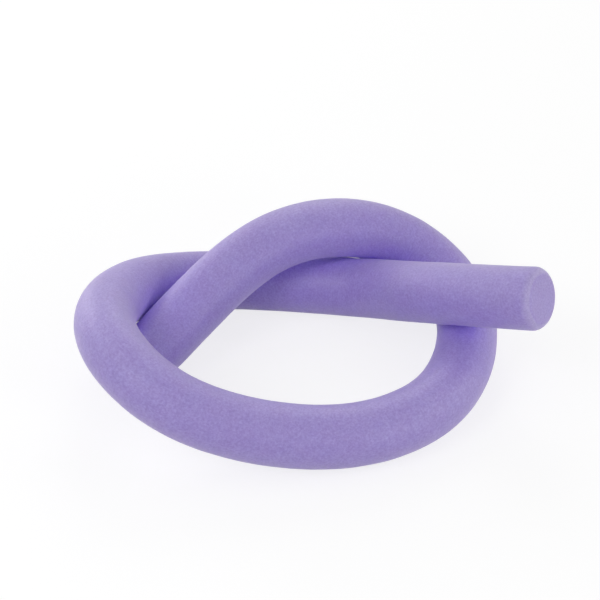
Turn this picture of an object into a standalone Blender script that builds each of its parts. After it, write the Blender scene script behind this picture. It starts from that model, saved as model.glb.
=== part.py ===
"""Pool noodle, tied in a loose overhand knot and lying on a floor.

The noodle is one solid rod of closed-cell foam, cut square at both ends. It is bent by hand into
the knot, so the whole object is one piece: a round section swept along the knot's route.
Units are metres, +Z is up, and the noodle rests on z = 0 with the middle of its outline at the
origin. The raised free end points along +X.
"""

import math

import bmesh
import bpy
import numpy as np

# Driving dimensions of the foam rod.
NOODLE_DIAMETER = 0.065
NOODLE_LENGTH = 1.67
# Radius of the softened rim where each end was cut off.
END_RIM_RADIUS = 0.010
# Depth by which the soft underside is pressed flat on the floor.
RESTING_FLAT_DEPTH = 0.001
# Space left between two strands that lie against each other.
STRAND_GAP = 0.0005
# A bent rod gets thinner in the plane of its bend, by this share for a bend as tight as the rod's
# own radius, and by less with the square of the curvature in a wider bend.
BEND_THINNING = 0.5

# The knot's route, as control points of a smooth curve, from the raised end to the tucked end.
# Each is x, y and a height, all in diameters of the rod. The height counts from where the rod
# lies on the floor, so 0 lies on the floor and 1 lies on a strand that lies on the floor.
ROUTE = [
    # The raised end, which comes down over the right side of the loop.
    (3.75, -1.70, 1.50),
    (2.75, -1.05, 1.05),
    (1.85, -0.35, 0.60),
    (1.10, 0.50, 0.10),
    # Along the floor, under the arch.
    (-0.80, 0.85, 0.00),
    (-1.80, 0.85, 0.00),
    # The left side of the loop, which climbs over the tucked end.
    (-2.80, 0.10, 0.45),
    (-3.20, -1.25, 0.90),
    (-2.90, -2.45, 1.05),
    (-2.05, -3.20, 0.65),
    # The front of the loop, down on the floor again.
    (-0.80, -3.30, 0.15),
    (0.60, -3.30, 0.00),
    (1.70, -2.90, 0.00),
    (2.45, -2.10, 0.00),
    # The right side of the loop, under the raised end.
    (2.85, -0.70, 0.00),
    (2.70, 0.65, 0.05),
    # The arch, over the rod.
    (1.70, 1.15, 0.70),
    (0.35, 0.75, 1.20),
    (-0.75, 0.35, 1.05),
    # The tucked end, down to the floor inside the loop and under its left side.
    (-1.75, -0.45, 0.40),
    (-2.35, -1.10, 0.05),
    (-2.60, -1.35, 0.00),
]

# How finely the route is followed and the section is turned.
POINTS_PER_SPAN = 64
AXIS_POINT_SPACING = 0.004
RING_SPACING = 0.012
SECTION_SIDES = 28
RIM_STEPS = 4

# Strands count as two where they are this many diameters apart along the rod.
STRAND_SEPARATION = 3.0
# A strand that is moved off another takes this many diameters of rod along, each way.
EASING_SPREAD = 2.5
EASING_PASSES = 400
EASING_TOLERANCE = 0.00001

FOAM_COLOR = (0.30, 0.25, 0.53, 1.0)
FOAM_ROUGHNESS = 0.85
SHARP_EDGE_ANGLE = math.radians(40)


def clear_scene():
    for old in list(bpy.data.objects):
        bpy.data.objects.remove(old, do_unlink=True)


def foam_material():
    material = bpy.data.materials.new("violet_foam")
    material.use_nodes = True
    shader = material.node_tree.nodes["Principled BSDF"]
    shader.inputs["Base Color"].default_value = FOAM_COLOR
    shader.inputs["Roughness"].default_value = FOAM_ROUGHNESS
    shader.inputs["Metallic"].default_value = 0.0
    return material


def route_controls():
    """The route's control points in metres, with the flat underside just below the floor."""
    lowest_axis = NOODLE_DIAMETER / 2 - RESTING_FLAT_DEPTH
    return np.array(ROUTE) * NOODLE_DIAMETER + (0.0, 0.0, lowest_axis)


def smooth_curve(controls):
    """Points of a uniform cubic B-spline that starts and ends, unbent, on its end controls."""
    before = 2 * controls[0] - controls[1]
    after = 2 * controls[-1] - controls[-2]
    padded = np.vstack([before, controls, after])
    t = np.linspace(0, 1, POINTS_PER_SPAN, endpoint=False)[:, None]
    weights = (
        (1 - t) ** 3 / 6,
        (3 * t ** 3 - 6 * t ** 2 + 4) / 6,
        (-3 * t ** 3 + 3 * t ** 2 + 3 * t + 1) / 6,
        t ** 3 / 6,
    )
    spans = [
        sum(weight * padded[span + k] for k, weight in enumerate(weights))
        for span in range(len(padded) - 3)
    ]
    return np.vstack(spans + [controls[-1:]])


def distances_along(points):
    steps = np.linalg.norm(np.diff(points, axis=0), axis=1)
    return np.concatenate([[0.0], np.cumsum(steps)])


def values_at(values, along, distances):
    """Rows of values that belong to the distances along, read off at other distances."""
    return np.stack([np.interp(distances, along, column) for column in values.T], axis=-1)


def stretch_between(points, start, end):
    """The stretch of a route between two distances along it, as evenly spaced points."""
    count = math.ceil((end - start) / AXIS_POINT_SPACING)
    return values_at(points, distances_along(points), np.linspace(start, end, count + 1))


def run_on_straight(points, extra):
    """The route with a straight stretch of the same length added at each end."""
    before = points[0] - points[1]
    after = points[-1] - points[-2]
    return np.vstack([
        points[0] + before * extra / np.linalg.norm(before),
        points,
        points[-1] + after * extra / np.linalg.norm(after),
    ])


def closest_strands(points, along):
    """The two points on different strands that are nearest each other, and their distance."""
    apart = np.linalg.norm(points[:, None] - points[None], axis=2)
    same_strand = np.abs(along[:, None] - along[None]) < STRAND_SEPARATION * NOODLE_DIAMETER
    apart[same_strand] = np.inf
    first, second = np.unravel_index(np.argmin(apart), apart.shape)
    return first, second, apart[first, second]


def lay_strands_on_each_other(points):
    """Moves the upper strand of each crossing off the lower one, smoothly, until they only touch."""
    points = points.copy()
    along = distances_along(points)
    reach = EASING_SPREAD * NOODLE_DIAMETER
    for _ in range(EASING_PASSES):
        first, second, distance = closest_strands(points, along)
        shortfall = NOODLE_DIAMETER + STRAND_GAP - distance
        if shortfall < EASING_TOLERANCE:
            break
        upper, lower = (first, second) if points[first, 2] > points[second, 2] else (second, first)
        direction = (points[upper] - points[lower]) / distance
        away = np.minimum(np.abs(along - along[upper]) / reach, 1.0)
        share = (1 + np.cos(math.pi * away)) / 2
        points += share[:, None] * direction * shortfall
    return points


def noodle_axis():
    """The rod's axis: the route, its strands laid on each other, cut alike at both ends."""
    route = smooth_curve(route_controls())
    missing = max(0.0, NOODLE_LENGTH - distances_along(route)[-1])
    route = run_on_straight(route, missing / 2 + AXIS_POINT_SPACING)
    laid = lay_strands_on_each_other(stretch_between(route, 0.0, distances_along(route)[-1]))
    cut_off = (distances_along(laid)[-1] - NOODLE_LENGTH) / 2
    return stretch_between(laid, cut_off, cut_off + NOODLE_LENGTH)


def sections():
    """Distance along the rod and radius of each section, with a rounded rim at both ends."""
    radius = NOODLE_DIAMETER / 2
    rim = [
        (END_RIM_RADIUS * (1 - math.cos(turn)), radius - END_RIM_RADIUS * (1 - math.sin(turn)))
        for turn in np.linspace(0, math.pi / 2, RIM_STEPS + 1)
    ]
    body_length = NOODLE_LENGTH - 2 * END_RIM_RADIUS
    count = math.ceil(body_length / RING_SPACING)
    body = [(END_RIM_RADIUS + body_length * k / count, radius) for k in range(1, count)]
    far_rim = [(NOODLE_LENGTH - distance, size) for distance, size in reversed(rim)]
    return rim + body + far_rim


def section_ring(center, heading, bend, radius):
    """Points of one section, square to the rod, with a facet facing down, thinner in its bend."""
    side = np.cross(heading, (0.0, 0.0, 1.0))
    side /= np.linalg.norm(side)
    rise = np.cross(side, heading)
    turns = (np.arange(SECTION_SIDES) + 0.5) * 2 * math.pi / SECTION_SIDES
    offsets = radius * (np.outer(np.sin(turns), side) - np.outer(np.cos(turns), rise))
    thinning = BEND_THINNING * (NOODLE_DIAMETER / 2) ** 2
    offsets -= thinning * np.outer(offsets @ bend, bend)
    return center + offsets


def sweep_rod(mesh_builder, axis):
    along = distances_along(axis)
    headings = np.gradient(axis, along, axis=0)
    bends = np.gradient(headings, along, axis=0)
    rings = []
    for distance, radius in sections():
        center = values_at(axis, along, distance)
        heading = values_at(headings, along, distance)
        bend = values_at(bends, along, distance)
        ring = section_ring(center, heading / np.linalg.norm(heading), bend, radius)
        rings.append([mesh_builder.verts.new(point) for point in ring])
    for ring, following in zip(rings, rings[1:]):
        for k in range(SECTION_SIDES):
            following_k = (k + 1) % SECTION_SIDES
            mesh_builder.faces.new(
                (ring[k], ring[following_k], following[following_k], following[k])
            )
    mesh_builder.faces.new(rings[0])
    mesh_builder.faces.new(rings[-1])
    bmesh.ops.recalc_face_normals(mesh_builder, faces=mesh_builder.faces[:])


def press_flat_underneath(mesh_builder):
    """Cuts the rod level with the floor where it lies on it, and closes each cut."""
    everything = mesh_builder.verts[:] + mesh_builder.edges[:] + mesh_builder.faces[:]
    bmesh.ops.bisect_plane(
        mesh_builder, geom=everything, dist=0.000001,
        plane_co=(0, 0, 0), plane_no=(0, 0, -1), clear_outer=True,
    )
    rims = [edge for edge in mesh_builder.edges if edge.is_boundary]
    bmesh.ops.holes_fill(mesh_builder, edges=rims, sides=0)


def center_outline(mesh_builder):
    """Moves the rod so that the middle of its outline, seen from above, is at the origin."""
    corners = np.array([vertex.co for vertex in mesh_builder.verts])
    middle = (corners.min(axis=0) + corners.max(axis=0)) / 2
    bmesh.ops.translate(
        mesh_builder, verts=mesh_builder.verts[:], vec=(-middle[0], -middle[1], 0)
    )
    return middle


def foam_noodle():
    axis = noodle_axis()
    mesh_builder = bmesh.new()
    sweep_rod(mesh_builder, axis)
    press_flat_underneath(mesh_builder)
    middle = center_outline(mesh_builder)
    mesh = bpy.data.meshes.new("foam_noodle")
    mesh_builder.to_mesh(mesh)
    mesh_builder.free()
    mesh.materials.append(foam_material())
    mesh.shade_smooth()
    mesh.set_sharp_from_angle(angle=SHARP_EDGE_ANGLE)
    noodle = bpy.data.objects.new("foam_noodle", mesh)
    bpy.context.scene.collection.objects.link(noodle)
    _, _, distance = closest_strands(axis, distances_along(axis))
    print(f"outline moved by {-middle[0] * 1000:.2f}, {-middle[1] * 1000:.2f} mm")
    print(f"least gap between strands {(distance - NOODLE_DIAMETER) * 1000:.2f} mm")
    return noodle


clear_scene()
foam_noodle()
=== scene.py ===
"""Looks of the knotted pool noodle: its foam rod and finish, the floor, lights and camera."""

import math
from types import SimpleNamespace

import bpy
import numpy as np
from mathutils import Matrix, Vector, noise


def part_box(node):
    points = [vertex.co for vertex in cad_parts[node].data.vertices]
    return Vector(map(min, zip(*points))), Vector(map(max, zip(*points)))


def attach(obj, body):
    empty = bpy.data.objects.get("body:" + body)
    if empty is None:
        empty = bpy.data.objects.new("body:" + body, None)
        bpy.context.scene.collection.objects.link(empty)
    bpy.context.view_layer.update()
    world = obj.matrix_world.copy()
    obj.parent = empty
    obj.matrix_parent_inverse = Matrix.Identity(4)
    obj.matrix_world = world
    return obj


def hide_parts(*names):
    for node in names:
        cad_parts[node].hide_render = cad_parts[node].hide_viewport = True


# The foam rod, in metres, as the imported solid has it.
NOODLE_DIAMETER = 0.065
NOODLE_LENGTH = 1.67
END_RIM_RADIUS = 0.010
RESTING_FLAT_DEPTH = 0.001
NOODLE_RADIUS = NOODLE_DIAMETER / 2
CUT_FACE_RADIUS = NOODLE_RADIUS - END_RIM_RADIUS
# A bent rod gets thinner in the plane of its bend, by this share for a bend as tight as the rod's
# own radius, and by less with the square of the curvature in a wider bend.
BEND_THINNING = 0.5

# How deep two strands press into each other where they cross, in all.
STRAND_PRESS = 0.0015

# The knot's route, as control points of a smooth curve, from the raised end to the tucked end.
# Each is x, y and a height, all in diameters of the rod. The height counts from where the rod
# lies on the floor, so 0 lies on the floor and 1 lies on a strand that lies on the floor.
ROUTE = [
    # The raised end, which comes down over the right side of the loop.
    (3.75, -1.70, 1.50),
    (2.75, -1.05, 1.05),
    (1.85, -0.35, 0.60),
    (1.10, 0.50, 0.10),
    # Along the floor, under the arch.
    (-0.80, 0.85, 0.00),
    (-1.80, 0.85, 0.00),
    # The left side of the loop, which climbs over the tucked end.
    (-2.80, 0.10, 0.45),
    (-3.20, -1.25, 0.90),
    (-2.90, -2.45, 1.05),
    (-2.05, -3.20, 0.65),
    # The front of the loop, down on the floor again.
    (-0.80, -3.30, 0.15),
    (0.60, -3.30, 0.00),
    (1.70, -2.90, 0.00),
    (2.45, -2.10, 0.00),
    # The right side of the loop, under the raised end.
    (2.85, -0.70, 0.00),
    (2.70, 0.65, 0.05),
    # The arch, over the rod.
    (1.70, 1.15, 0.70),
    (0.35, 0.75, 1.20),
    (-0.75, 0.35, 1.05),
    # The tucked end, down to the floor inside the loop and under its left side.
    (-1.75, -0.45, 0.40),
    (-2.35, -1.10, 0.05),
    (-2.60, -1.35, 0.00),
]

# How finely the route is followed.
POINTS_PER_SPAN = 64
AXIS_POINT_SPACING = 0.004

# Strands count as two where they are this many diameters apart along the rod.
STRAND_SEPARATION = 3.0
# A strand that is moved off another takes this many diameters of rod along, each way.
EASING_SPREAD = 2.5
EASING_PASSES = 400
EASING_TOLERANCE = 0.00001

# How fine the foam's surface mesh is: along the rod, round it, over a rim and across a cut face.
RING_SPACING = 0.0019
SECTION_SIDES = 108
RIM_STEPS = 7
FACE_RINGS = 13

# The foam's soft unevenness: how wide its lumps are, and how far they stand out at most.
RELIEF = ((0.030, 0.00022), (0.009, 0.00008))

# Where strands press on each other: how near a strand counts, how far the foam stays from the
# plane between them, and how softly it starts to flatten.
CONTACT_SEARCH = 0.012
CONTACT_GAP = 0.0001
CONTACT_SOFTNESS = 0.0003

# The flat layout of the rod's skin, which an export paints the foam's finish on: how many strips
# the skin is cut into, and the space left between what is laid out.
STRIPS = 3
MAP_GAP = 0.004

# The foam's colour, gloss and softness, with the depth in metres that red, green and blue light
# reach in it.
FOAM_COLOR = (0.335, 0.236, 0.682, 1.0)
FOAM_ROUGHNESS = 0.50
FOAM_SPECULAR = 0.70
FOAM_SHEEN = 0.28
FOAM_SHEEN_ROUGHNESS = 0.98
FOAM_SUBSURFACE = 1.0
FOAM_SUBSURFACE_DEPTHS = (0.0047, 0.0036, 0.0045)

# What makes up the foam's finish, as sizes in metres.
CELL_SIZE = 0.0009
GRAIN_SIZE = 0.0022
MOTTLE_SIZE = 0.006
CLOUD_SIZE = 0.026
WRINKLE_LENGTH = 0.012
WRINKLE_SPACING = 0.0023
# How many layers of ever finer lumps a pattern has, and how strong each is beside the one before.
FINE_DETAIL = 2.0
SOFT_DETAIL = 1.0
FINER_LAYER_STRENGTH = 0.6
# Knife marks lie diagonally across a cut face. This is how far apart they are along x or y on
# it, in metres, and how far they stray from straight lines.
KNIFE_MARK_SPACING = 0.008
KNIFE_MARK_WANDER = 2.5

# A noise texture's values lie round this one.
NOISE_MIDDLE = 0.5
# A wave texture of this scale has one diagonal band for each metre along x, y or z.
WAVE_UNIT = math.pi / 5
# A hue shift of this much leaves a colour's hue as it is.
SAME_HUE = 0.5

# How much each of these changes the foam's brightness and hue. Brighter spots are paler.
GRAIN_TONE = 0.50
MOTTLE_TONE = 0.08
CLOUD_TONE = 0.08
WRINKLE_TONE = 0.15
# The open cells' pits on a cut face are darkened: painted shade in the pits.
PAINTED_PIT_SHADE = 0.10
PALENESS = 0.95
MOTTLE_HUE = 0.004
CLOUD_HUE = 0.010
# The cut ends, and a band round the rim of each, are a little lighter and paler than the skin.
CUT_FACE_TONE = 0.02
CUT_FACE_PALENESS = 0.02
RIM_TONE = 0.03
RIM_PALENESS = 0.16
# How far from the end a cut face and the rim's band begin, and from where they are full, in metres.
CUT_FACE_EDGE = (0.0010, 0.0002)
PALE_RIM_BAND = (0.0095, 0.0015)
# How near the middle of an open cell its pit begins, and where it is full, in cell sizes.
PIT_EDGE = (0.35, 0.05)
# Ripples have this share of their strength on a straight stretch. They grow where the skin is
# squeezed or stretched by the first of the pair, and are full at the second.
STRAIGHT_WRINKLES = 0.25
WRINKLE_SQUEEZE = (0.02, 0.30)
# Near another strand the colour is painted shade and bounce light: richer where the strand shades
# the skin, and brighter and richer nearer it, most of all where they touch. Each pair is how near
# the strand is where that begins, and where it is full, in metres.
PAINTED_BOUNCE_TONE = 0.16
PAINTED_BOUNCE_REACH = (0.022, 0.004)
PAINTED_SHADE_RICHNESS = 0.066
PAINTED_SHADE_REACH = (0.075, 0.040)
PAINTED_CREASE_TONE = 0.25
PAINTED_CREASE_RICHNESS = 0.10
PAINTED_CREASE_REACH = (0.0035, 0.0005)

# How much each of these roughens the foam.
GRAIN_ROUGHNESS = 0.25
CLOUD_ROUGHNESS = 0.20
CUT_FACE_ROUGHNESS = 0.15

# How far each of these stands out or goes in, in metres.
CELL_HEIGHT = 0.00003
GRAIN_HEIGHT = 0.00010
MOTTLE_HEIGHT = 0.00012
WRINKLE_HEIGHT = 0.00012
PIT_DEPTH = 0.00015
KNIFE_MARK_DEPTH = 0.00003

# The studio's floor. It throws light on the noodle as a pale floor does. To the camera it is a
# darker floor with a glow, which is white but for the noodle's soft shadow.
FLOOR_SIZE = 2.6
FLOOR_COLOR = (0.90, 0.90, 0.90, 1.0)
FLOOR_SHADOW_COLOR = (0.30, 0.30, 0.30, 1.0)
FLOOR_GLOW = 0.765
# The studio's even light from all round, and its white background.
AMBIENT_STRENGTH = 0.40
BACKGROUND_COLOR = (1.0, 1.0, 1.0, 1.0)
# The soft boxes that face the noodle: each one's name, place in metres and power in watts.
SOFT_BOX_SIZE = 0.9
SOFT_BOXES = (
    ("front_left_box", (-1.21, -1.21, 1.54), 10.3),
    ("front_right_box", (1.55, -1.55, 0.71), 6.9),
    ("back_left_box", (-1.55, 1.55, 0.71), 9.1),
    ("back_box", (0.0, 1.71, 1.54), 6.3),
    ("left_box", (-1.71, 0.0, 1.54), 3.3),
    ("right_box", (2.19, 0.0, 0.71), 6.4),
)

# The camera stands where the photo was taken from, and faces the route's own origin on the floor.
CAMERA_ELEVATION = math.radians(38.1)
CAMERA_DISTANCE = 1.9
# The photo's width and the lens's focal length in pixels, and the sensor's width in millimetres.
FRAME_PIXELS = 600
FOCAL_PIXELS = 1721.4
SENSOR_WIDTH = 36.0
# Where the route's own origin shows in the photo, in pixels from the left and from the top.
ORIGIN_PIXEL = (299.66, 332.56)


def route_controls():
    """The route's control points in metres, with the flat underside just below the floor."""
    lowest_axis = NOODLE_RADIUS - RESTING_FLAT_DEPTH
    return np.array(ROUTE) * NOODLE_DIAMETER + (0.0, 0.0, lowest_axis)


def smooth_curve(controls):
    """Points of a uniform cubic B-spline that starts and ends, unbent, on its end controls."""
    before = 2 * controls[0] - controls[1]
    after = 2 * controls[-1] - controls[-2]
    padded = np.vstack([before, controls, after])
    t = np.linspace(0, 1, POINTS_PER_SPAN, endpoint=False)[:, None]
    weights = (
        (1 - t) ** 3 / 6,
        (3 * t ** 3 - 6 * t ** 2 + 4) / 6,
        (-3 * t ** 3 + 3 * t ** 2 + 3 * t + 1) / 6,
        t ** 3 / 6,
    )
    spans = [
        sum(weight * padded[span + k] for k, weight in enumerate(weights))
        for span in range(len(padded) - 3)
    ]
    return np.vstack(spans + [controls[-1:]])


def distances_along(points):
    steps = np.linalg.norm(np.diff(points, axis=0), axis=1)
    return np.concatenate([[0.0], np.cumsum(steps)])


def values_at(values, along, distances):
    """Rows of values that belong to the distances along, read off at other distances."""
    return np.stack([np.interp(distances, along, column) for column in values.T], axis=-1)


def stretch_between(points, start, end):
    """The stretch of a route between two distances along it, as evenly spaced points."""
    count = math.ceil((end - start) / AXIS_POINT_SPACING)
    return values_at(points, distances_along(points), np.linspace(start, end, count + 1))


def run_on_straight(points, extra):
    """The route with a straight stretch of the same length added at each end."""
    before = points[0] - points[1]
    after = points[-1] - points[-2]
    return np.vstack([
        points[0] + before * extra / np.linalg.norm(before),
        points,
        points[-1] + after * extra / np.linalg.norm(after),
    ])


def distances_between_strands(points, points_along, axis, axis_along):
    """From each point to each point of the axis, and infinite where both are on one strand."""
    apart = np.linalg.norm(points[:, None] - axis[None], axis=2)
    along_rod = np.abs(points_along[:, None] - axis_along[None])
    apart[along_rod < STRAND_SEPARATION * NOODLE_DIAMETER] = np.inf
    return apart


def closest_strands(points, along):
    """The two points on different strands that are nearest each other, and their distance."""
    apart = distances_between_strands(points, along, points, along)
    first, second = np.unravel_index(np.argmin(apart), apart.shape)
    return first, second, apart[first, second]


def lay_strands_on_each_other(points):
    """Moves the upper strand of each crossing off the lower one until they press as they should."""
    points = points.copy()
    along = distances_along(points)
    reach = EASING_SPREAD * NOODLE_DIAMETER
    for _ in range(EASING_PASSES):
        first, second, distance = closest_strands(points, along)
        shortfall = NOODLE_DIAMETER - STRAND_PRESS - distance
        if shortfall < EASING_TOLERANCE:
            break
        upper, lower = (first, second) if points[first, 2] > points[second, 2] else (second, first)
        direction = (points[upper] - points[lower]) / distance
        away = np.minimum(np.abs(along - along[upper]) / reach, 1.0)
        share = (1 + np.cos(math.pi * away)) / 2
        points += share[:, None] * direction * shortfall
    return points


def noodle_axis():
    """The rod's axis: the route, its strands laid on each other, cut alike at both ends."""
    route = smooth_curve(route_controls())
    missing = max(0.0, NOODLE_LENGTH - distances_along(route)[-1])
    route = run_on_straight(route, missing / 2 + AXIS_POINT_SPACING)
    laid = lay_strands_on_each_other(stretch_between(route, 0.0, distances_along(route)[-1]))
    cut_off = (distances_along(laid)[-1] - NOODLE_LENGTH) / 2
    return stretch_between(laid, cut_off, cut_off + NOODLE_LENGTH)


def ring_sizes():
    """Distance along the rod and radius of each ring: a cut face, its rim, the body, and again."""
    face = [(0.0, CUT_FACE_RADIUS * k / FACE_RINGS) for k in range(1, FACE_RINGS)]
    rim = [
        (END_RIM_RADIUS * (1 - math.cos(turn)), CUT_FACE_RADIUS + END_RIM_RADIUS * math.sin(turn))
        for turn in np.linspace(0, math.pi / 2, RIM_STEPS + 1)
    ]
    body_length = NOODLE_LENGTH - 2 * END_RIM_RADIUS
    count = math.ceil(body_length / RING_SPACING)
    body = [(END_RIM_RADIUS + body_length * k / count, NOODLE_RADIUS) for k in range(1, count)]
    end = [(NOODLE_LENGTH - distance, radius) for distance, radius in reversed(face + rim)]
    return np.array(face + rim + body + end).T


def turn_at(step):
    """The angle of a ring's point, or of each in an array, counted from straight underneath."""
    return (step + 0.5) * 2 * math.pi / SECTION_SIDES


def unbent_points():
    """Where each point of the rings was on the rod before it was bent: across, up and along."""
    distances, radii = ring_sizes()
    turns = turn_at(np.arange(SECTION_SIDES))
    return np.stack([
        radii[:, None] * np.sin(turns),
        -radii[:, None] * np.cos(turns),
        np.broadcast_to(distances[:, None], (len(radii), SECTION_SIDES)),
    ], axis=2)


def surface_relief(unbent):
    """How far the foam stands out from a true rod at each point, in metres."""
    relief = np.zeros(unbent.shape[0] * unbent.shape[1])
    for lump_size, height in RELIEF:
        places = (unbent.reshape(-1, 3) / lump_size).tolist()
        relief += height * np.array([noise.noise(place) for place in places])
    return relief.reshape(unbent.shape[:2])


def outward_directions(heading):
    """From each ring's middle to each of its points, square to the way that the rod heads there."""
    side = np.cross(heading, (0.0, 0.0, 1.0))
    side /= np.linalg.norm(side, axis=1)[:, None]
    rise = np.cross(side, heading)
    turns = turn_at(np.arange(SECTION_SIDES))[None, :, None]
    return np.sin(turns) * side[:, None] - np.cos(turns) * rise[:, None]


def skin_normals(outward, heading):
    """Which way the skin faces at each point: outward, endways on a cut face, between on a rim."""
    distances, radii = ring_sizes()
    sideways = np.clip(1 - (NOODLE_RADIUS - radii) / END_RIM_RADIUS, 0, 1)
    endways = np.sqrt(1 - sideways ** 2) * np.where(distances < NOODLE_LENGTH / 2, -1, 1)
    return sideways[:, None, None] * outward + (endways[:, None] * heading)[:, None]


def rod_rings(axis, relief):
    """Ring points of the bent rod, the rings' middles, and each point's squeeze in a bend."""
    along = distances_along(axis)
    headings = np.gradient(axis, along, axis=0)
    bends = np.gradient(headings, along, axis=0)
    distances, radii = ring_sizes()
    centers = values_at(axis, along, distances)
    heading = values_at(headings, along, distances)
    heading /= np.linalg.norm(heading, axis=1)[:, None]
    bend = values_at(bends, along, distances)[:, None]
    outward = outward_directions(heading)
    offsets = radii[:, None, None] * outward
    squeeze = (offsets * bend).sum(axis=2)
    offsets -= BEND_THINNING * NOODLE_RADIUS ** 2 * squeeze[..., None] * bend
    offsets += relief[..., None] * skin_normals(outward, heading)
    return centers[:, None] + offsets, centers, squeeze


def rings_near_strands(reach, rings, centers, axis):
    """Each ring that another strand comes near, the axis points of the other strands, and the
    distances from the ring's points to them."""
    distances, _ = ring_sizes()
    apart = distances_between_strands(centers, distances, axis, distances_along(axis))
    for ring in np.nonzero(apart.min(axis=1) < NOODLE_DIAMETER + reach)[0]:
        others = axis[np.isfinite(apart[ring])]
        yield ring, others, np.linalg.norm(rings[ring][:, None] - others[None], axis=2)


def soft_positive(values, softness):
    """The values where they are positive and nothing where they are negative, rounded over at 0."""
    return softness * np.logaddexp(0.0, values / softness)


def press_on_other_strands(rings, centers, axis):
    """Flattens the foam where a strand lies on another, at the plane midway between their axes."""
    for ring, others, to_others in rings_near_strands(CONTACT_SEARCH, rings, centers, axis):
        across = others[to_others.argmin(axis=1)] - centers[ring]
        length = np.linalg.norm(across, axis=1)[:, None]
        across /= length
        reach = ((rings[ring] - centers[ring]) * across).sum(axis=1)[:, None]
        over = reach - length / 2 + CONTACT_GAP
        rings[ring] -= soft_positive(over, CONTACT_SOFTNESS) * across


def gaps_to_other_strands(rings, centers, axis):
    """How far each point is from the nearest other strand, out to where the painted shade near it
    ends.
    """
    reach = PAINTED_SHADE_REACH[0]
    gaps = np.full(rings.shape[:2], reach)
    for ring, _, to_others in rings_near_strands(reach, rings, centers, axis):
        gaps[ring] = np.clip(to_others.min(axis=1) - NOODLE_RADIUS, 0, reach)
    return gaps


def rod_faces(ring_count):
    """Quads between the rings, then a fan of triangles that closes each end."""
    first = np.arange(ring_count - 1)[:, None] * SECTION_SIDES
    k = np.arange(SECTION_SIDES)[None]
    following = (k + 1) % SECTION_SIDES
    quads = np.stack([
        first + k,
        first + following,
        first + SECTION_SIDES + following,
        first + SECTION_SIDES + k,
    ], axis=2).reshape(-1, 4).tolist()
    last_ring = (ring_count - 1) * SECTION_SIDES
    start_middle = ring_count * SECTION_SIDES
    fans = []
    for here, there in zip(k[0].tolist(), following[0].tolist()):
        fans.append((there, here, start_middle))
        fans.append((last_ring + here, last_ring + there, start_middle + 1))
    return quads + fans


def quad_corners(ring_count):
    """The ring and the step round it of each corner of each quad, in the order of rod_faces."""
    ring = np.arange(ring_count - 1)[:, None]
    step = np.arange(SECTION_SIDES)[None]
    rings = np.stack(np.broadcast_arrays(ring, ring, ring + 1, ring + 1), axis=2)
    steps = np.stack(np.broadcast_arrays(step, step + 1, step + 1, step), axis=2)
    return np.broadcast_arrays(rings, steps)


def on_circle(radius, steps):
    """Flat places round a middle, at a radius and at the angle of each step."""
    turns = turn_at(steps)
    return radius[..., None] * np.stack([np.cos(turns), np.sin(turns)], axis=-1)


def skin_in_strips(rings, steps, strip_length):
    """Each quad corner's flat place, with the skin cut into strips that lie side by side."""
    distances, _ = ring_sizes()
    girth = 2 * math.pi * NOODLE_RADIUS
    middles = (distances[:-1] + distances[1:]) / 2 - END_RIM_RADIUS
    strip = np.clip(middles // strip_length, 0, STRIPS - 1)[:, None, None]
    along = distances[rings] - END_RIM_RADIUS - strip * strip_length
    return np.stack([
        MAP_GAP + strip * (girth + MAP_GAP) + girth * steps / SECTION_SIDES,
        np.broadcast_to(MAP_GAP + along, rings.shape),
    ], axis=3)


def ends_as_discs(rings, steps):
    """Each quad corner's flat place round its end's middle, with the rim rolled out flat."""
    distances, radii = ring_sizes()
    from_end = np.minimum(distances, NOODLE_LENGTH - distances)
    roll = np.arccos(np.clip(1 - from_end / END_RIM_RADIUS, -1, 1))
    spread = np.where(radii > CUT_FACE_RADIUS, CUT_FACE_RADIUS + END_RIM_RADIUS * roll, radii)
    return on_circle(spread[rings], steps)


def fan_corners(start_disc, far_disc):
    """The flat place of each corner of the fans that close the ends, in the order of rod_faces."""
    _, radii = ring_sizes()
    corners = []
    for here in range(SECTION_SIDES):
        for middle, steps in ((start_disc, (here + 1, here)), (far_disc, (here, here + 1))):
            corners.extend(middle + on_circle(radii[0], step) for step in steps)
            corners.append(middle)
    return corners


def bake_map(mesh, ring_count):
    """Lays the rod's skin out flat in one square: strips side by side, and both ends as discs."""
    strip_length = (NOODLE_LENGTH - 2 * END_RIM_RADIUS) / STRIPS
    disc_radius = CUT_FACE_RADIUS + END_RIM_RADIUS * math.pi / 2
    square = max(
        STRIPS * (2 * math.pi * NOODLE_RADIUS + MAP_GAP) + MAP_GAP,
        strip_length + 2 * disc_radius + 3 * MAP_GAP,
    )
    start_disc = np.array([MAP_GAP + disc_radius, 2 * MAP_GAP + strip_length + disc_radius])
    far_disc = start_disc + (2 * disc_radius + MAP_GAP, 0)
    rings, steps = quad_corners(ring_count)
    places = skin_in_strips(rings, steps, strip_length)
    discs = ends_as_discs(rings, steps)
    # The rows of quads that make up one cut face and its rim.
    end_rows = FACE_RINGS + RIM_STEPS - 1
    places[:end_rows] = discs[:end_rows] + start_disc
    places[-end_rows:] = discs[-end_rows:] + far_disc
    flat = np.vstack([places.reshape(-1, 2), fan_corners(start_disc, far_disc)]) / square
    layer = mesh.uv_layers.new(name="OFBake")
    layer.uv.foreach_set("vector", flat.astype(np.float32).ravel())


def store(mesh, name, values):
    """Keeps a number or a place for each point of the mesh, which the foam's material reads."""
    kind, field = ("FLOAT", "value") if values.ndim == 1 else ("FLOAT_VECTOR", "vector")
    mesh.attributes.new(name, kind, "POINT")
    mesh.attributes[name].data.foreach_set(field, values.astype(np.float32).ravel())


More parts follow.
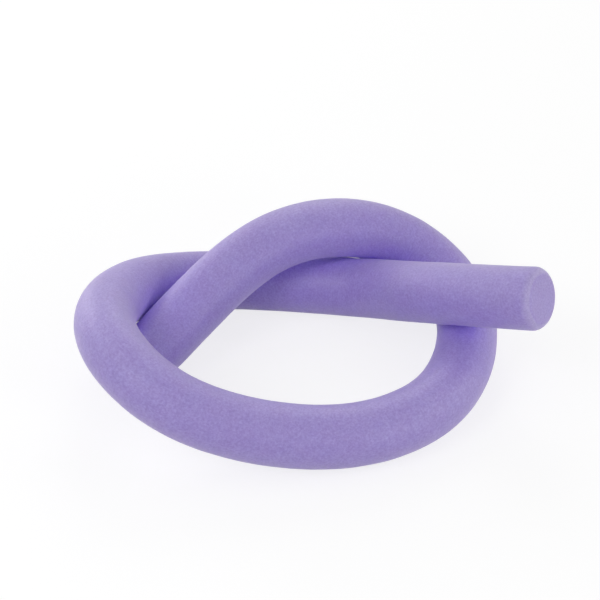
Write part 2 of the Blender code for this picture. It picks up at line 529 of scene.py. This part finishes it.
def noodle_mesh():
    """The bent rod as one fine closed mesh, with all that the foam's material reads."""
    axis = noodle_axis()
    unbent = unbent_points()
    rings, centers, squeeze = rod_rings(axis, surface_relief(unbent))
    press_on_other_strands(rings, centers, axis)
    rings[..., 2] = np.maximum(rings[..., 2], 0.0)
    gaps = gaps_to_other_strands(rings, centers, axis)
    points = np.vstack([rings.reshape(-1, 3), rings[0].mean(axis=0), rings[-1].mean(axis=0)])
    mesh = bpy.data.meshes.new("noodle_foam")
    mesh.from_pydata(points.tolist(), [], rod_faces(len(rings)))
    # The middles of both ends come last, in each of these as in the points.
    rod_positions = np.vstack([unbent.reshape(-1, 3), (0, 0, 0), (0, 0, NOODLE_LENGTH)])
    store(mesh, "rod_position", rod_positions)
    store(mesh, "squeeze", np.append(squeeze, (0.0, 0.0)))
    store(mesh, "strand_gap", np.append(gaps, (gaps[0, 0], gaps[-1, 0])))
    bake_map(mesh, len(rings))
    mesh.shade_smooth()
    return mesh


def place_on_solid(mesh):
    """Centres the mesh, seen from above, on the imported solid, and returns how it was moved."""
    low, high = (np.array(corner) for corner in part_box("foam_noodle"))
    points = np.empty(len(mesh.vertices) * 3)
    mesh.vertices.foreach_get("co", points)
    points = points.reshape(-1, 3)
    move = (low + high) / 2 - (points.min(axis=0) + points.max(axis=0)) / 2
    move[2] = 0.0
    mesh.vertices.foreach_set("co", (points + move).ravel())
    mesh.update()
    return move


def add_object(name, data):
    """A new object in the scene that holds the data."""
    made = bpy.data.objects.new(name, data)
    bpy.context.scene.collection.objects.link(made)
    return made


def add_node(tree, kind, inputs, **settings):
    """A new shader node's outputs, with its inputs set to values or linked to other outputs."""
    made = tree.nodes.new(kind)
    for name, value in settings.items():
        setattr(made, name, value)
    for name, value in inputs.items():
        if isinstance(value, bpy.types.NodeSocket):
            tree.links.new(value, made.inputs[name])
        else:
            made.inputs[name].default_value = value
    return made.outputs


def calculate(tree, operation, *values):
    return add_node(tree, "ShaderNodeMath", dict(enumerate(values)), operation=operation)[0]


def weighted_sum(tree, start, terms):
    """The start value plus each of the other values times its own weight."""
    total = start
    for value, weight in terms:
        total = calculate(tree, "MULTIPLY_ADD", value, weight, total)
    return total


def stored(tree, name):
    """What the mesh keeps under this name at each point, as a number or as a place."""
    return add_node(tree, "ShaderNodeAttribute", {}, attribute_name=name)


def random_lumps(tree, place, size, detail):
    """A soft random value around 0, in lumps of about the given size."""
    texture = add_node(
        tree, "ShaderNodeTexNoise",
        {"Vector": place, "Scale": 1 / size, "Detail": detail, "Roughness": FINER_LAYER_STRENGTH},
    )
    return calculate(tree, "SUBTRACT", texture["Fac"], NOISE_MIDDLE)


def ramp(tree, value, start, end):
    """0 where the value is at the start, 1 where it is at the end, and smooth between."""
    return add_node(
        tree, "ShaderNodeMapRange", {"Value": value, "From Min": start, "From Max": end},
        interpolation_type="SMOOTHSTEP",
    )["Result"]


def distance_from_end(tree, rod_place):
    along = add_node(tree, "ShaderNodeSeparateXYZ", {"Vector": rod_place})["Z"]
    from_middle = calculate(tree, "SUBTRACT", along, NOODLE_LENGTH / 2)
    return calculate(tree, "SUBTRACT", NOODLE_LENGTH / 2, calculate(tree, "ABSOLUTE", from_middle))


def wrinkles(tree, rod_place, squeeze):
    """Fine ripples across the rod, which grow where a bend squeezes or stretches the skin."""
    in_ripples = add_node(
        tree, "ShaderNodeVectorMath",
        {0: rod_place, 1: (1 / WRINKLE_LENGTH, 1 / WRINKLE_LENGTH, 1 / WRINKLE_SPACING)},
        operation="MULTIPLY",
    )[0]
    ripples = random_lumps(tree, in_ripples, 1.0, SOFT_DETAIL)
    bent = ramp(tree, calculate(tree, "ABSOLUTE", squeeze), *WRINKLE_SQUEEZE)
    strength = weighted_sum(tree, STRAIGHT_WRINKLES, ((bent, 1 - STRAIGHT_WRINKLES),))
    return calculate(tree, "MULTIPLY", ripples, strength)


def cells(tree, rod_place):
    """How far each point is from the middle of its cell, in cell sizes."""
    return add_node(
        tree, "ShaderNodeTexVoronoi", {"Vector": rod_place, "Scale": 1 / CELL_SIZE}
    )["Distance"]


def knife_marks(tree, rod_place):
    """Wandering lines that a blade leaves across a cut end."""
    return add_node(
        tree, "ShaderNodeTexWave",
        {
            "Vector": rod_place,
            "Scale": WAVE_UNIT / KNIFE_MARK_SPACING,
            "Distortion": KNIFE_MARK_WANDER,
            "Detail": FINE_DETAIL,
        },
        bands_direction="DIAGONAL",
    )["Fac"]


def foam_patterns(tree):
    """All that varies over the foam: its lumps and cells, the cut ends, and painted shade and bounce
    light.
    """
    rod_place = stored(tree, "rod_position")["Vector"]
    strand_gap = stored(tree, "strand_gap")["Fac"]
    from_end = distance_from_end(tree, rod_place)
    cell_distance = cells(tree, rod_place)
    cut = ramp(tree, from_end, *CUT_FACE_EDGE)
    return SimpleNamespace(
        cells=cell_distance,
        grain=random_lumps(tree, rod_place, GRAIN_SIZE, FINE_DETAIL),
        mottle=random_lumps(tree, rod_place, MOTTLE_SIZE, FINE_DETAIL),
        clouds=random_lumps(tree, rod_place, CLOUD_SIZE, SOFT_DETAIL),
        ripples=wrinkles(tree, rod_place, stored(tree, "squeeze")["Fac"]),
        cut=cut,
        rim=calculate(tree, "SUBTRACT", ramp(tree, from_end, *PALE_RIM_BAND), cut),
        pits=calculate(tree, "MULTIPLY", cut, ramp(tree, cell_distance, *PIT_EDGE)),
        marks=calculate(tree, "MULTIPLY", cut, knife_marks(tree, rod_place)),
        # Painted shade and bounce light, by how near each point is to another strand.
        painted_shade=ramp(tree, strand_gap, *PAINTED_SHADE_REACH),
        painted_bounce=ramp(tree, strand_gap, *PAINTED_BOUNCE_REACH),
        painted_crease=ramp(tree, strand_gap, *PAINTED_CREASE_REACH),
    )


def foam_color(tree, foam):
    brightness = weighted_sum(tree, 1.0, (
        (foam.grain, GRAIN_TONE),
        (foam.mottle, MOTTLE_TONE),
        (foam.clouds, CLOUD_TONE),
        (foam.ripples, WRINKLE_TONE),
        # Painted shade in the open cells' pits.
        (foam.pits, -PAINTED_PIT_SHADE),
        (foam.cut, CUT_FACE_TONE),
        (foam.rim, RIM_TONE),
    ))
    hue = weighted_sum(tree, SAME_HUE, ((foam.mottle, MOTTLE_HUE), (foam.clouds, -CLOUD_HUE)))
    saturation = weighted_sum(tree, 1.0 + PALENESS, (
        (brightness, -PALENESS),
        (foam.cut, -CUT_FACE_PALENESS),
        (foam.rim, -RIM_PALENESS),
        # Painted shade: a richer colour near another strand, most of all where they touch.
        (foam.painted_shade, PAINTED_SHADE_RICHNESS),
        (foam.painted_crease, PAINTED_CREASE_RICHNESS),
    ))
    # Painted bounce light is brighter without being paler, so its tone comes after the paleness.
    brightness = weighted_sum(tree, brightness, (
        (foam.painted_bounce, PAINTED_BOUNCE_TONE),
        (foam.painted_crease, PAINTED_CREASE_TONE),
    ))
    return add_node(
        tree, "ShaderNodeHueSaturation",
        {"Color": FOAM_COLOR, "Value": brightness, "Saturation": saturation, "Hue": hue},
    )["Color"]


def foam_roughness(tree, foam):
    return weighted_sum(tree, FOAM_ROUGHNESS, (
        (foam.grain, GRAIN_ROUGHNESS),
        (foam.clouds, CLOUD_ROUGHNESS),
        (foam.cut, CUT_FACE_ROUGHNESS),
    ))


def foam_bump(tree, foam):
    height = weighted_sum(tree, 0.0, (
        (foam.cells, -CELL_HEIGHT),
        (foam.grain, GRAIN_HEIGHT),
        (foam.mottle, MOTTLE_HEIGHT),
        (foam.ripples, WRINKLE_HEIGHT),
        (foam.pits, -PIT_DEPTH),
        (foam.marks, KNIFE_MARK_DEPTH),
    ))
    return add_node(
        tree, "ShaderNodeBump", {"Height": height, "Strength": 1.0, "Distance": 1.0}
    )["Normal"]


def foam_material():
    """Violet foam: a skin of closed cells with a soft mottled grain, and cut ends with open cells."""
    material = bpy.data.materials.new("violet_foam")
    material.use_nodes = True
    tree = material.node_tree
    foam = foam_patterns(tree)
    shader = tree.nodes["Principled BSDF"].inputs
    tree.links.new(foam_color(tree, foam), shader["Base Color"])
    tree.links.new(foam_roughness(tree, foam), shader["Roughness"])
    tree.links.new(foam_bump(tree, foam), shader["Normal"])
    shader["Specular IOR Level"].default_value = FOAM_SPECULAR
    shader["Sheen Weight"].default_value = FOAM_SHEEN
    shader["Sheen Roughness"].default_value = FOAM_SHEEN_ROUGHNESS
    shader["Subsurface Weight"].default_value = FOAM_SUBSURFACE
    shader["Subsurface Scale"].default_value = 1.0
    shader["Subsurface Radius"].default_value = FOAM_SUBSURFACE_DEPTHS
    return material


def seen_by_camera(tree):
    """1 for what the camera sees, straight or in a reflection, and 0 for the light on the object."""
    path = add_node(tree, "ShaderNodeLightPath", {})
    seen = calculate(tree, "MAXIMUM", path["Is Camera Ray"], path["Is Glossy Ray"])
    return calculate(tree, "MAXIMUM", seen, path["Is Transmission Ray"])


def floor_material():
    """Pale for the light on the noodle, and for the camera a darker surface with a glow over it."""
    material = bpy.data.materials.new("pale_floor")
    material.use_nodes = True
    tree = material.node_tree
    tree.nodes.clear()
    plain = add_node(tree, "ShaderNodeBsdfDiffuse", {"Color": FLOOR_COLOR})[0]
    shadowed = add_node(tree, "ShaderNodeBsdfDiffuse", {"Color": FLOOR_SHADOW_COLOR})[0]
    glow = add_node(tree, "ShaderNodeEmission", {"Strength": FLOOR_GLOW})[0]
    white = add_node(tree, "ShaderNodeAddShader", {0: shadowed, 1: glow})[0]
    mixed = add_node(tree, "ShaderNodeMixShader", {0: seen_by_camera(tree), 1: plain, 2: white})[0]
    add_node(tree, "ShaderNodeOutputMaterial", {"Surface": mixed})
    return material


def floor():
    """A square floor, which belongs to the studio and not to the object."""
    half = FLOOR_SIZE / 2
    corners = [(-half, -half, 0), (half, -half, 0), (half, half, 0), (-half, half, 0)]
    mesh = bpy.data.meshes.new("floor")
    mesh.from_pydata(corners, [], [(0, 1, 2, 3)])
    mesh.materials.append(floor_material())
    plane = add_object("floor", mesh)


def surroundings():
    """Even studio light from all round, in front of a white background."""
    world = bpy.data.worlds.new("studio")
    world.use_nodes = True
    tree = world.node_tree
    background = tree.nodes["Background"].inputs
    strength = weighted_sum(tree, AMBIENT_STRENGTH, ((seen_by_camera(tree), 1 - AMBIENT_STRENGTH),))
    tree.links.new(strength, background["Strength"])
    background["Color"].default_value = BACKGROUND_COLOR
    bpy.context.scene.world = world


def soft_box(name, location, power):
    """A square lamp that faces the noodle."""
    data = bpy.data.lights.new(name, "AREA")
    data.size = SOFT_BOX_SIZE
    data.energy = power
    lamp = add_object(name, data)
    lamp.location = location
    lamp.rotation_euler = (-Vector(location)).to_track_quat("-Z", "Y").to_euler()


def camera(origin):
    """The photo's view, with the route's own origin where the photo shows it."""
    data = bpy.data.cameras.new("camera")
    data.sensor_width = SENSOR_WIDTH
    data.lens = FOCAL_PIXELS * SENSOR_WIDTH / FRAME_PIXELS
    data.shift_x = (FRAME_PIXELS / 2 - ORIGIN_PIXEL[0]) / FRAME_PIXELS
    data.shift_y = (ORIGIN_PIXEL[1] - FRAME_PIXELS / 2) / FRAME_PIXELS
    back = Vector((0.0, -math.cos(CAMERA_ELEVATION), math.sin(CAMERA_ELEVATION)))
    viewer = add_object("camera", data)
    viewer.location = Vector(origin) + back * CAMERA_DISTANCE
    viewer.rotation_euler = (math.pi / 2 - CAMERA_ELEVATION, 0.0, 0.0)
    bpy.context.scene.camera = viewer


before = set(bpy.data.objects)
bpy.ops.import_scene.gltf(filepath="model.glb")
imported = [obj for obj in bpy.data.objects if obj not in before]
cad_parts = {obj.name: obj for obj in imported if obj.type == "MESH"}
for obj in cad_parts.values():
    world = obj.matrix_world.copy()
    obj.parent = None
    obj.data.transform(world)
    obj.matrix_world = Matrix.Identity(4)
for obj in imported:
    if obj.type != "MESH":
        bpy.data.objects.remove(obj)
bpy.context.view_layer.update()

mesh = noodle_mesh()
route_origin = place_on_solid(mesh)
mesh.materials.append(foam_material())
noodle = add_object("noodle_foam", mesh)
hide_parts("foam_noodle")
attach(noodle, "root")

floor()
surroundings()
for name, location, power in SOFT_BOXES:
    soft_box(name, location, power)
camera(route_origin)
bpy.context.scene.view_settings.view_transform = "Standard"
